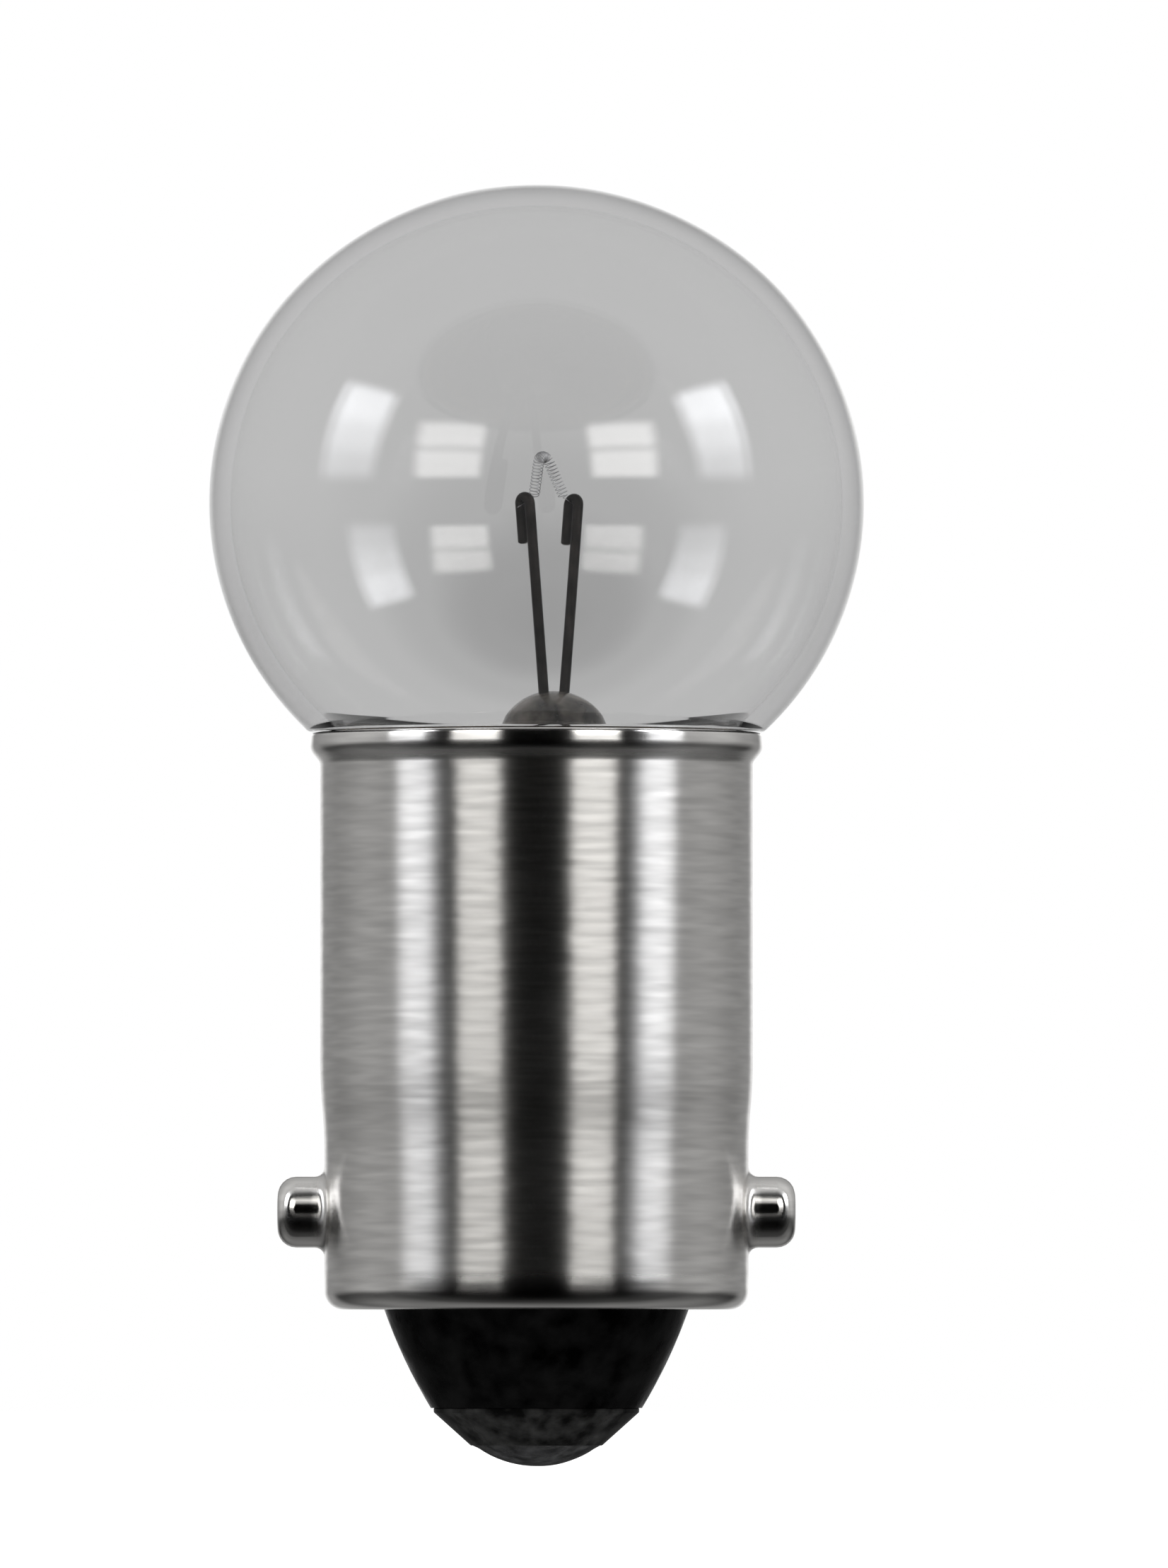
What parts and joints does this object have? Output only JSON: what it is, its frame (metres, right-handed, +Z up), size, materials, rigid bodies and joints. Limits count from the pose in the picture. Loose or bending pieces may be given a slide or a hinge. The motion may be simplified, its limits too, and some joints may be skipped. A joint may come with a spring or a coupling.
{
  "type": "car light bulb",
  "caption": "Miniature bayonet filament bulb: round clear glass globe on a nickel plated shell with pressed side pins, black glass insulator and soldered centre contact.",
  "frame": {"origin": "where the axis of the two bayonet pins crosses the axis of the shell", "axes": "+Z up the lamp's axis towards the globe, X along the bayonet pins"},
  "size_m": [0.0138, 0.0138, 0.027],
  "materials": {
    "clear_glass": "clear, polished",
    "bead_glass": "brownish, fire polished",
    "lead_wire": "dark drawn wire",
    "tungsten": "dark coiled wire",
    "nickel_plate": "bright nickel plating",
    "cement": "matt basing cement",
    "black_glass": "opaque black, smooth",
    "contact_metal": "dull plated",
    "solder": "dull solder"
  },
  "bodies": {
    "root": {"glass_globe": "clear_glass", "glass_bead": "bead_glass", "lead_wire_contact": "lead_wire", "lead_wire_shell": "lead_wire", "filament": "tungsten", "base_shell": "nickel_plate", "basing_cement": "cement", "base_insulator": "black_glass", "contact_eyelet": "contact_metal", "contact_solder": "solder", "shell_solder": "solder"}
  },
  "joints": []
}
